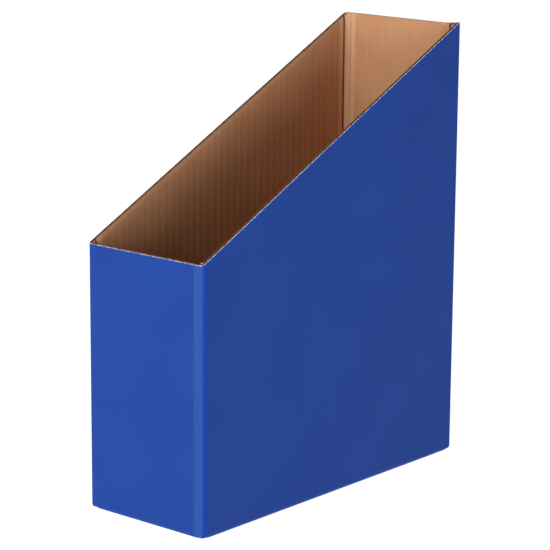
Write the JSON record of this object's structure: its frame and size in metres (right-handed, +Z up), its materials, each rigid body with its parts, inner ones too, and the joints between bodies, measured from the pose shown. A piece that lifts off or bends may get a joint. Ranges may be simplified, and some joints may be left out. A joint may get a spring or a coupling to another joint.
{
  "type": "magazine file holder",
  "caption": "Upright magazine file folded from corrugated board, with a low front, a tall back, a slanted open top and a tucked bottom.",
  "frame": {"origin": "middle of the footprint, on the floor that the base panel stands on", "axes": "+X towards the right side wall, +Y towards the tall back wall, +Z up"},
  "size_m": [0.0944, 0.25, 0.2915],
  "materials": {
    "printed_liner": "matt blue print on the outer liner",
    "kraft_liner": "plain brown kraft liner",
    "flute_medium": "rough brown fluting paper",
    "glue": "dried cream-coloured paper glue"
  },
  "bodies": {
    "right_wall": {"right_wall_outer_liner": "printed_liner", "right_wall_flutes": "flute_medium", "right_wall_inner_liner": "kraft_liner", "front_right_crease_outer": "printed_liner", "front_right_crease_inner": "kraft_liner", "back_right_crease_outer": "printed_liner", "back_right_crease_inner": "kraft_liner", "right_bottom_crease_outer": "printed_liner", "right_bottom_crease_inner": "kraft_liner"},
    "front_wall": {"front_wall_outer_liner": "printed_liner", "front_wall_flutes": "flute_medium", "front_wall_inner_liner": "kraft_liner", "front_left_crease_outer": "printed_liner", "front_left_crease_inner": "kraft_liner", "front_dust_flap_crease_outer": "printed_liner", "front_dust_flap_crease_inner": "kraft_liner"},
    "left_wall": {"left_wall_outer_liner": "printed_liner", "left_wall_flutes": "flute_medium", "left_wall_inner_liner": "kraft_liner", "back_left_crease_outer": "printed_liner", "back_left_crease_inner": "kraft_liner"},
    "back_wall": {"back_wall_outer_liner": "printed_liner", "back_wall_flutes": "flute_medium", "back_wall_inner_liner": "kraft_liner", "glue_flap_outer_liner": "printed_liner", "glue_flap_flutes": "flute_medium", "glue_flap_inner_liner": "kraft_liner", "glue_line": "glue", "back_dust_flap_crease_outer": "printed_liner", "back_dust_flap_crease_inner": "kraft_liner"},
    "base_panel": {"base_panel_outer_liner": "printed_liner", "base_panel_flutes": "flute_medium", "base_panel_inner_liner": "kraft_liner", "tuck_crease_outer": "printed_liner", "tuck_crease_inner": "kraft_liner"},
    "tuck_flap": {"tuck_flap_outer_liner": "printed_liner", "tuck_flap_flutes": "flute_medium", "tuck_flap_inner_liner": "kraft_liner"},
    "front_dust_flap": {"front_dust_flap_outer_liner": "printed_liner", "front_dust_flap_flutes": "flute_medium", "front_dust_flap_inner_liner": "kraft_liner"},
    "back_dust_flap": {"back_dust_flap_outer_liner": "printed_liner", "back_dust_flap_flutes": "flute_medium", "back_dust_flap_inner_liner": "kraft_liner"}
  },
  "joints": [
    {"name": "front_right_fold", "type": "hinge", "parent": "right_wall", "child": "front_wall", "pos_m": [0.0441, -0.12185, 0], "axis": [0, 0, -1], "range_deg": [0, 90], "deforming": ["front_right_crease_outer", "front_right_crease_inner"]},
    {"name": "front_left_fold", "type": "hinge", "parent": "front_wall", "child": "left_wall", "pos_m": [-0.0441, -0.12185, 0], "axis": [0, 0, 1], "range_deg": [0, 90], "deforming": ["front_left_crease_outer", "front_left_crease_inner"]},
    {"name": "back_left_fold", "type": "hinge", "parent": "left_wall", "child": "back_wall", "pos_m": [-0.0441, 0.11855, 0], "axis": [0, 0, -1], "range_deg": [0, 90], "deforming": ["back_left_crease_outer", "back_left_crease_inner", "back_right_crease_outer", "back_right_crease_inner"]},
    {"name": "base_drop", "type": "hinge", "parent": "right_wall", "child": "base_panel", "pos_m": [0.0441, 0, 0.00315], "axis": [0, -1, 0], "range_deg": [0, 90], "deforming": ["right_bottom_crease_outer", "right_bottom_crease_inner"]},
    {"name": "tuck_fold", "type": "hinge", "parent": "base_panel", "child": "tuck_flap", "pos_m": [-0.0408, 0, 0.00315], "axis": [0, 1, 0], "range_deg": [0, 90], "deforming": ["tuck_crease_outer", "tuck_crease_inner"]},
    {"name": "front_dust_drop", "type": "hinge", "parent": "front_wall", "child": "front_dust_flap", "pos_m": [0, -0.12185, 0.00645], "axis": [-1, 0, 0], "range_deg": [0, 90], "deforming": ["front_dust_flap_crease_outer", "front_dust_flap_crease_inner"]},
    {"name": "back_dust_drop", "type": "hinge", "parent": "back_wall", "child": "back_dust_flap", "pos_m": [0, 0.11855, 0.00645], "axis": [1, 0, 0], "range_deg": [0, 90], "deforming": ["back_dust_flap_crease_outer", "back_dust_flap_crease_inner"]}
  ],
  "couplings": [
    {"joint": "front_left_fold", "follows": "front_right_fold", "ratio": 1},
    {"joint": "back_left_fold", "follows": "front_right_fold", "ratio": 1},
    {"joint": "base_drop", "follows": "front_right_fold", "ratio": 1},
    {"joint": "tuck_fold", "follows": "front_right_fold", "ratio": 1},
    {"joint": "front_dust_drop", "follows": "front_right_fold", "ratio": 1},
    {"joint": "back_dust_drop", "follows": "front_right_fold", "ratio": 1}
  ]
}
